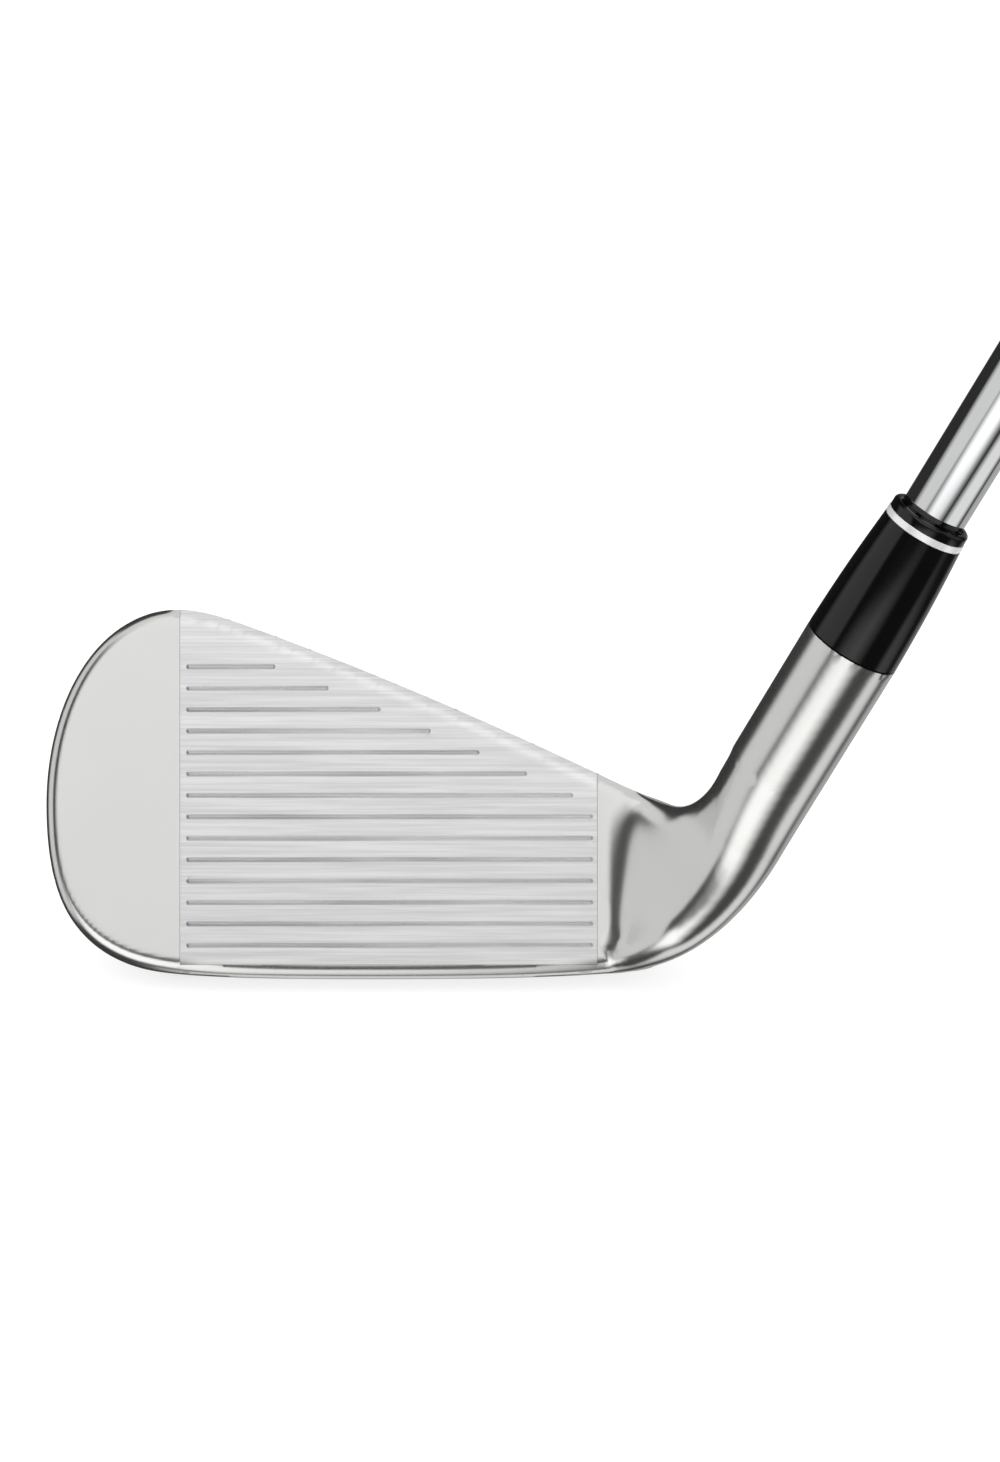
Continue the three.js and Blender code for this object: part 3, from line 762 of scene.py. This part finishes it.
def grip_rubber():
    material, shader = node_material("grip_rubber", (0.015, 0.015, 0.016), 0, 0.5)
    n = Nodes(material, SHAFT_TURN)
    grain = n.noise(2600, 4)
    worn = n.noise(70, 3)
    n.link(n.tint(worn, (0.009, 0.009, 0.0095), (0.016, 0.016, 0.017)), shader.inputs["Base Color"])
    n.link(n.spread(worn, 0.4, 0.56), shader.inputs["Roughness"])
    n.link(n.bump(grain, 0.00004, 0.7), shader.inputs["Normal"])
    return material


def satin_plastic(name, dark, light, roughness):
    material, shader = node_material(name, dark, 0, roughness)
    n = Nodes(material)
    grain = n.noise(3500, 3)
    n.link(n.tint(grain, dark, light), shader.inputs["Base Color"])
    n.link(n.bump(grain, 0.00001, 0.5), shader.inputs["Normal"])
    return material


# ------------------------------------------------------------------ head pieces

def score_cutters():
    """Fourteen slots with round ends and sloping walls, as one mesh of separate closed pieces."""
    vertices, faces = [], []
    arc = 8
    for row in range(SCORES):
        y = SCORE_FIRST + row * SCORE_PITCH
        heel, beyond = SCORE_HEEL, row - FULL_SCORES
        if beyond >= 0:
            heel -= SHORTER_FIRST + SHORTER_EACH * beyond + SHORTER_GROWTH * beyond ** 2
        base = len(vertices)
        for z, half in [(0.3, SCORE_WIDTH / 2 + 0.1), (0, SCORE_WIDTH / 2), (-SCORE_DEPTH, 0.03)]:
            for centre, turn in [(heel, -90), (SCORE_TOE + SCORE_WIDTH, 90)]:
                for k in range(arc + 1):
                    angle = math.radians(turn + 180 * k / arc)
                    vertices.append((centre + half * math.cos(angle), y + half * math.sin(angle), z))
        ring = 2 * (arc + 1)
        for level in range(2):
            for k in range(ring):
                m = (k + 1) % ring
                a = base + level * ring
                faces.append((a + k, a + ring + k, a + ring + m, a + m))
        faces.append([base + k for k in range(ring)])
        faces.append([base + 2 * ring + k for k in reversed(range(ring))])
    return vertices, faces


def flowed(vertices, quads):
    """Eases the flank between valley, crotch and hosel, and leaves the rest as it is."""
    x, y, z = vertices.T
    d = (vertices - axis_foot) @ axis_dir
    rim = outline_field(x, y)
    weight = smooth(30.4, 32.5, x) * smooth(-4, -1, z) * smooth(4, 8, y) * (1 - smooth(34, 39, d))
    weight *= 1 - (1 - smooth(1.5, 3, np.abs(rim))) * (1 - smooth(35, 39, x))
    weight *= smooth(0, 1.2, heel_sweep.off_tube(vertices)) * (0.4 + 0.6 * smooth(34, 39, x))
    a = quads.ravel()
    b = np.roll(quads, -1, 1).ravel()
    ends, starts = np.concatenate([a, b]), np.concatenate([b, a])
    count = np.maximum(np.bincount(ends, minlength=len(vertices)), 1)
    for _ in range(int(26 / CELL / CELL)):
        sums = [np.bincount(ends, vertices[starts, k], len(vertices)) for k in range(3)]
        mean = np.stack(sums, 1) / count[:, None]
        vertices = vertices + 0.6 * weight[:, None] * (mean - vertices)
    return vertices


def build_head(steel, milled):
    """One head surface, cut twice: a body with a pocket, and the strike face that fills it. Both boxes
    reach well past the topline and the face."""
    vertices, faces = dual_contour(head, (-51, -4, -24), (75, 58, 24), CELL)
    vertices = flowed(vertices, faces)
    whole = new_object("head_steel_body", vertices, faces, FACE)
    plate = new_object("strike_face", vertices, faces, FACE)
    pocket_low = (PLATE_TOE - SEAM, PLATE_BOTTOM - SEAM, -PLATE_THICKNESS - SEAM)
    pocket = new_object("pocket", *box_faces(pocket_low, (PLATE_HEEL + SEAM, 70, 9)), FACE)
    region_low = (PLATE_TOE, PLATE_BOTTOM, -PLATE_THICKNESS)
    region = new_object("region", *box_faces(region_low, (PLATE_HEEL, 69, 8)), FACE)
    scores = new_object("scores", *score_cutters(), FACE)
    cut(whole, pocket)
    cut(plate, region, "INTERSECT")
    cut(plate, scores)
    for helper in (pocket, region, scores):
        discard(helper)
    for piece in (whole, plate):
        shade(piece, 25)
    finish_piece(whole, steel, "head_body")
    finish_piece(plate, milled, "face_plate")


PAD_THICKNESS, PIECE_GAP = 0.8, 0.3
BADGE_TOP, BADGE_THICKNESS = -CAVITY_FLOOR - PAD_THICKNESS - 2 * PIECE_GAP, 1.6
BADGE_INSET, BADGE_LIFT = 1.6, 1.4


def build_badge(plastic):
    """A plate in the cavity: a chamfered rim round a sunk field."""
    outer = BADGE_TOP - BADGE_THICKNESS
    rows = [(1, BADGE_TOP), (1, outer + 0.35), (0.985, outer), (0.9, outer), (0.885, outer + 0.4)]
    rim = bezier(cavity_outline(BADGE_INSET, BADGE_LIFT), 24)[:-1]
    middle, count = rim.mean(0), len(rim)
    vertices = [(*(middle + (point - middle) * scale), z) for scale, z in rows for point in rim]
    faces = []
    for row in range(len(rows) - 1):
        for k in range(count):
            a, b = row * count + k, row * count + (k + 1) % count
            faces.append((a, a + count, b + count, b))
    faces.append(range(count))
    faces.append([(len(rows) - 1) * count + k for k in reversed(range(count))])
    badge = new_object("badge_plate", vertices, faces, FACE, 25)
    finish_piece(badge, plastic, "cavity_badge")


def build_toe_plug(metal):
    """A turned plug standing in the sole, with a shallow dimple."""
    dimple = 2.2
    profile = [
        (0, PLUG_BOTTOM + 0.2), (dimple - 0.2, PLUG_BOTTOM + 0.2), (dimple, PLUG_BOTTOM),
        (PLUG_RADIUS - PLUG_CHAMFER, PLUG_BOTTOM), (PLUG_RADIUS, PLUG_BOTTOM + PLUG_CHAMFER),
        (PLUG_RADIUS, PLUG_TOP), (0, PLUG_TOP),
    ]
    place = (np.eye(3), np.array([PLUG_X, PLUG_SETBACK - KEEL_SETBACK, 0]))
    plug = new_object("toe_plug", *lathe(profile, SIDES), place, 20)
    finish_piece(plug, metal, "toe_weight")


# ------------------------------------------------------------------ shaft line pieces

SHAFT_TIP, SHAFT_BUTT, SHAFT_WALL = 4.5, 7.62, 0.45
PARALLEL_TIP, STEPS, STEP_PITCH, STEP_RUN = 215, 12, 35.5, 2
FERRULE_BOTTOM, FERRULE_LENGTH, FERRULE_TOP = 57.65, 18.8, 5.75
RING_LENGTH, RING_RADIUS = 1.0, 5.74
CAP_LENGTH, CAP_RADIUS, CAP_ROUND = 1.4, 5.62, 0.45


def build_ferrule(black, bright):
    """A slightly swelling sleeve, the trim ring and the end piece, stacked up the shaft."""
    inner = SHAFT_TIP + 0.03
    rows = 24
    profile = [(inner, FERRULE_BOTTOM), (HOSEL_RADIUS - 0.25, FERRULE_BOTTOM)]
    for k in range(rows + 1):
        s = k / rows
        radius = HOSEL_RADIUS + (FERRULE_TOP - HOSEL_RADIUS) * s + 0.16 * math.sin(math.pi * s)
        profile.append((radius, FERRULE_BOTTOM + 0.2 + s * (FERRULE_LENGTH - 0.2)))
    profile.append((inner, FERRULE_BOTTOM + FERRULE_LENGTH))
    body = new_object("ferrule_sleeve", *lathe(profile, SIDES), SHAFT)
    finish_piece(body, black, "ferrule_body")
    low = FERRULE_BOTTOM + FERRULE_LENGTH + 0.02
    high = low + RING_LENGTH
    profile = [(inner, low), (RING_RADIUS - 0.06, low), (RING_RADIUS, low + 0.08)]
    profile += [(RING_RADIUS - 0.02, high - 0.08), (RING_RADIUS - 0.08, high), (inner, high)]
    ring = new_object("trim_ring", *lathe(profile, SIDES), SHAFT)
    finish_piece(ring, bright, "ferrule_ring")
    low = high + 0.02
    high = low + CAP_LENGTH
    profile = [(inner, low), (CAP_RADIUS - 0.05, low), (CAP_RADIUS, low + 0.06)]
    for k in range(7):
        angle = math.radians(15 * k)
        radius = CAP_RADIUS - CAP_ROUND * (1 - math.cos(angle))
        profile.append((radius, high - CAP_ROUND * (1 - math.sin(angle))))
    profile += [(inner + 0.25, high), (inner, high - 0.2)]
    cap = new_object("ferrule_end", *lathe(profile, SIDES), SHAFT)
    finish_piece(cap, black, "ferrule_cap")


def step_radius(step):
    """The tube's outer radius above a step, counted from the tip."""
    return SHAFT_TIP + (SHAFT_BUTT - SHAFT_TIP) * step / STEPS


def build_shaft(chrome):
    """A stepped tube: a parallel tip, then short soft steps up to the butt."""
    bottom, top = BORE_BOTTOM + 1.3, CLUB_LENGTH - 7
    start = bottom + PARALLEL_TIP
    outside = [(SHAFT_TIP - 0.25, bottom), (SHAFT_TIP, bottom + 0.25)]
    for step in range(1, STEPS + 1):
        height = start + (step - 1) * STEP_PITCH
        low, high = step_radius(step - 1), step_radius(step)
        for k in range(7):
            s = k / 6
            outside.append((low + (high - low) * s * s * (3 - 2 * s), height + s * STEP_RUN))
    outside.append((SHAFT_BUTT, top))
    inside = [
        (SHAFT_BUTT - SHAFT_WALL, top),
        (SHAFT_BUTT - SHAFT_WALL, start + STEPS * STEP_PITCH),
        (SHAFT_TIP - SHAFT_WALL, start),
        (SHAFT_TIP - SHAFT_WALL, bottom),
    ]
    tube = new_object("steel_shaft", *lathe(outside + inside, SIDES), SHAFT, 50)
    finish_piece(tube, chrome, "shaft")


BAND_BOTTOM, BAND_LENGTH, BAND_THICKNESS, BAND_STEP, BAND_SLIP = 607, 28, 0.25, 11, 0.22


def build_band(film):
    """A plain film sleeve round the shaft below the grip."""
    inner = step_radius(BAND_STEP) + BAND_SLIP
    outer, top = inner + BAND_THICKNESS, BAND_BOTTOM + BAND_LENGTH
    profile = [(inner, BAND_BOTTOM), (outer - 0.08, BAND_BOTTOM), (outer, BAND_BOTTOM + 0.08)]
    profile += [(outer, top - 0.08), (outer - 0.08, top), (inner, top)]
    band = new_object("film_band", *lathe(profile, SIDES), SHAFT)
    finish_piece(band, film, "shaft_band")


GRIP_LENGTH, GRIP_MOUTH, GRIP_END, GRIP_CAP_HEIGHT = 267, 9.3, 13.4, 5
# The moulded pattern: lanes round the grip, row pitch along it, depth, and plain margins at both ends.
GRIP_LANES, GRIP_ROW, GRIP_RELIEF, GRIP_MARGIN, GRIP_FADE = 20, 4.2, 0.45, 9, 13


def grip_radius(s):
    return GRIP_MOUTH + (GRIP_END - GRIP_MOUTH) * (0.62 * s + 0.38 * s ** 4)


def grip_relief(s, angle):
    """How far the moulded pattern is sunk, in mm, at a place along and round the grip."""
    length = s * GRIP_LENGTH
    if length < GRIP_MARGIN or length > GRIP_LENGTH - GRIP_MARGIN:
        return 0.0
    lanes = angle / (2 * math.pi) * GRIP_LANES
    lane = lanes % 1
    shift = 0.5 * (int(lanes) % 2)
    row = (length / GRIP_ROW + shift) % 1
    across = smooth(0.08, 0.2, lane) * (1 - smooth(0.8, 0.92, lane))
    along = smooth(0.1, 0.24, row) * (1 - smooth(0.56, 0.7, row))
    fade = smooth(GRIP_MARGIN, GRIP_FADE, length)
    fade *= 1 - smooth(GRIP_LENGTH - GRIP_FADE, GRIP_LENGTH - GRIP_MARGIN, length)
    return float(GRIP_RELIEF * across * along * fade)


def build_grip(rubber):
    top = CLUB_LENGTH - GRIP_CAP_HEIGHT - 0.02
    mouth = CLUB_LENGTH - GRIP_LENGTH
    sides, rows = ((160, 420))
    vertices = []
    profile = [(7.66, mouth + 0.3), (7.9, mouth), (9.0, mouth), (9.2, mouth + 0.08)]
    rings = []

    def ring(radii, height):
        rings.append(list(range(len(vertices), len(vertices) + sides)))
        for k, radius in enumerate(radii):
            angle = 2 * math.pi * k / sides
            vertices.append((radius * math.cos(angle), radius * math.sin(angle), height))

    for radius, height in profile:
        ring([radius] * sides, height)
    for r in range(rows + 1):
        s = r / rows
        height = mouth + 0.3 + s * (top - mouth - 0.3)
        collar = 0.35 * math.exp(-((s * GRIP_LENGTH - 4) / 2.2) ** 2)
        base = grip_radius(s) + collar
        ring([base - grip_relief(s, 2 * math.pi * k / sides) for k in range(sides)], height)
    ring([7.66 + 0.4] * sides, top)
    ring([7.66 + 0.4] * sides, mouth + 12)
    ring([7.66] * sides, mouth + 10)
    faces = []
    for lower, upper in zip(rings, rings[1:] + rings[:1]):
        for k in range(sides):
            m = (k + 1) % sides
            faces.append((lower[k], lower[m], upper[m], upper[k]))
    sleeve = new_object("grip_rubber_sleeve", vertices, faces, SHAFT, 45)
    finish_piece(sleeve, rubber, "grip_sleeve")


def build_grip_cap(rubber):
    base = CLUB_LENGTH - GRIP_CAP_HEIGHT
    vent, edge, spigot = 1.5, 2.4, SHAFT_BUTT - SHAFT_WALL - 0.1
    profile = [(vent, base - 18), (spigot - 0.6, base - 18), (spigot, base - 17), (spigot, base)]
    profile += [(GRIP_END - 0.12, base), (GRIP_END, base + 0.15), (GRIP_END, base + GRIP_CAP_HEIGHT - edge)]
    for k in range(1, 9):
        angle = math.radians(90 * k / 8)
        radius = GRIP_END - edge * (1 - math.cos(angle))
        profile.append((radius, CLUB_LENGTH - edge * (1 - math.sin(angle))))
    groove = CLUB_LENGTH - 0.35
    profile += [(8.2, CLUB_LENGTH), (8.0, groove), (7.2, groove), (7.0, CLUB_LENGTH)]
    profile += [(vent + 0.5, CLUB_LENGTH), (vent + 0.12, CLUB_LENGTH - 0.15), (vent, CLUB_LENGTH - 0.6)]
    cap = new_object("grip_butt_cap", *lathe(profile, SIDES), SHAFT, 35)
    finish_piece(cap, rubber, "grip_end_cap")


# ------------------------------------------------------------------ camera, floor, light

VIEW_X, VIEW_UP, VIEW_DISTANCE, FOCAL_PIXELS, IMAGE_HEIGHT = 15.7, 36.8, 490, 3500, 1462


def build_camera():
    """Square on to the strike face, as in the photo."""
    camera = bpy.data.cameras.new("camera")
    camera.sensor_width = 36
    camera.lens = FOCAL_PIXELS / IMAGE_HEIGHT * camera.sensor_width
    camera.clip_start = 0.01
    camera.clip_end = 50
    obj = bpy.data.objects.new("camera", camera)
    bpy.context.scene.collection.objects.link(obj)
    position = np.array([VIEW_X, VIEW_UP, VIEW_DISTANCE]) @ FACE_AXES + FACE_ORIGIN
    obj.matrix_world = frame_matrix(FACE_AXES, position)
    bpy.context.scene.camera = obj


def build_floor():
    """A pale floor. It also glows a little, so the contact shadow stays faint."""
    half, drop = 4.0, 0.0004
    mesh = bpy.data.meshes.new("floor")
    corners = [(-half, -half, 0), (half, -half, 0), (half, half, 0), (-half, half, 0)]
    mesh.from_pydata(corners, [], [(0, 1, 2, 3)])
    floor = bpy.data.objects.new("floor", mesh)
    floor.location.z = -drop
    bpy.context.scene.collection.objects.link(floor)
    glow = {"Emission_Color": (1, 1, 1, 1), "Emission_Strength": 0.72}
    material, shader = node_material("floor", (0.4, 0.4, 0.4), 0, 0.9, **glow)
    shader.inputs["Specular IOR Level"].default_value = 0.1
    mesh.materials.append(material)
    floor.visible_glossy = False
    floor.visible_shadow = False


# Soft boxes seen in reflections: middle direction (right, up the face, towards the viewer), a roll in
# degrees, the left, right, lower and upper edges as [tangent, softness], and the brightness.
CARDS = {
    "front": ((-0.086, 0.13, 0.988), 0, [(0.38, 0.3), (1.0, 0.2), (0.31, 0.08), (1.3, 0.3)], 1.15),
    "lower_left": ((-0.324, -0.643, 0.694), -28, [(0.5, 0.42), (0.4, 0.5), (0.5, 0.3), (0.3, 0.14)], 1.55),
    "left": ((-0.981, 0.139, 0.138), 0, [(0.44, 0.3), (0.54, 0.1), (0.9, 0.3), (0.9, 0.3)], 0.84),
    "below": ((0.32, -0.94, -0.1), 0, [(0.62, 0.25), (0.62, 0.2), (0.4, 0.3), (0.24, 0.2)], 0.98),
    "above": ((0.25, 0.85, 0.46), 0, [(1.4, 0.3), (0.7, 0.3), (0.36, 0.1), (0.8, 0.3)], 0.9),
    "right": ((0.95, 0.2, 0.1), 0, [(0.5, 0.3), (0.5, 0.3), (0.6, 0.3), (0.9, 0.3)], 0.5),
    "behind": ((0.3, -0.3, -0.9), 0, [(0.45, 0.2), (0.45, 0.2), (0.4, 0.2), (0.9, 0.3)], 0.5),
}


def card_nodes(tree, direction, card):
    middle, roll, edges, strength = card
    normal = Vector(FACE_AXES.T @ np.array(middle)).normalized()
    vertical = Vector(FACE_AXES[1]) if abs(middle[1]) < 0.9 else Vector(FACE_AXES[2])
    right = vertical.cross(normal).normalized()
    up = normal.cross(right).normalized()
    spin = Matrix.Rotation(math.radians(roll), 3, normal)
    right, up = spin @ right, spin @ up

    def math_node(operation, *values, clamp=False):
        node = tree.nodes.new("ShaderNodeMath")
        node.operation = operation
        node.use_clamp = clamp
        for k, value in enumerate(values):
            if isinstance(value, bpy.types.NodeSocket):
                tree.links.new(value, node.inputs[k])
            else:
                node.inputs[k].default_value = value
        return node.outputs[0]

    def dot(axis):
        node = tree.nodes.new("ShaderNodeVectorMath")
        node.operation = "DOT_PRODUCT"
        tree.links.new(direction, node.inputs[0])
        node.inputs[1].default_value = axis
        return node.outputs["Value"]

    ahead = dot(normal)
    safe = math_node("MAXIMUM", ahead, 0.001)
    result = math_node("GREATER_THAN", ahead, 0.02)
    for axis, (edge, soft) in zip((-right, right, -up, up), edges):
        offset = math_node("DIVIDE", dot(axis), safe)
        inside = math_node("DIVIDE", math_node("SUBTRACT", edge + soft / 2, offset), soft, clamp=True)
        result = math_node("MULTIPLY", result, inside)
    return math_node("MULTIPLY", result, strength)


def build_light():
    """A studio world: reflections see the cards, and everything else sees plain white."""
    world = bpy.data.worlds.new("studio")
    bpy.context.scene.world = world
    world.use_nodes = True
    tree = world.node_tree
    tree.nodes.clear()
    direction = tree.nodes.new("ShaderNodeTexCoord").outputs["Generated"]
    total = None
    for card in CARDS.values():
        value = card_nodes(tree, direction, card)
        if total is None:
            total = value
            continue
        node = tree.nodes.new("ShaderNodeMath")
        node.operation = "MAXIMUM"
        tree.links.new(total, node.inputs[0])
        tree.links.new(value, node.inputs[1])
        total = node.outputs[0]
    base = tree.nodes.new("ShaderNodeMath")
    base.operation = "ADD"
    base.inputs[1].default_value = 0.035
    tree.links.new(total, base.inputs[0])
    reflected = tree.nodes.new("ShaderNodeBackground")
    tree.links.new(base.outputs[0], reflected.inputs["Strength"])
    plain = tree.nodes.new("ShaderNodeBackground")
    plain.inputs["Color"].default_value = (1, 1, 1, 1)
    plain.inputs["Strength"].default_value = 1.25
    path = tree.nodes.new("ShaderNodeLightPath")
    mix = tree.nodes.new("ShaderNodeMixShader")
    tree.links.new(path.outputs["Is Glossy Ray"], mix.inputs["Fac"])
    tree.links.new(plain.outputs[0], mix.inputs[1])
    tree.links.new(reflected.outputs[0], mix.inputs[2])
    output = tree.nodes.new("ShaderNodeOutputWorld")
    tree.links.new(mix.outputs[0], output.inputs["Surface"])
    bpy.context.scene.view_settings.view_transform = "Standard"


# ------------------------------------------------------------------ the scene

build_camera()
build_floor()
build_light()

steel = head_steel()
milled = face_steel()
black = black_gloss()
rubber = grip_rubber()
build_head(steel, milled)
build_badge(badge_plastic())
build_toe_plug(tungsten())
build_ferrule(black, bright_ring())
build_shaft(shaft_chrome())
build_band(satin_plastic("band_film", (0.18, 0.19, 0.2), (0.22, 0.23, 0.24), 0.4))
build_grip(rubber)
build_grip_cap(rubber)

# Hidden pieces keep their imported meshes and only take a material. The tip plug shares the ring's.
HIDDEN = {
    "badge_damping_pad": satin_plastic("damping_rubber", (0.01, 0.01, 0.01), (0.02, 0.02, 0.02), 0.8),
    "tip_weight_plug": bright_ring(),
    "grip_tape": satin_plastic("tape_paper", (0.6, 0.55, 0.42), (0.7, 0.65, 0.5), 0.9),
}
for node_name, material in HIDDEN.items():
    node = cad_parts[node_name]
    node.data.materials.clear()
    node.data.materials.append(material)
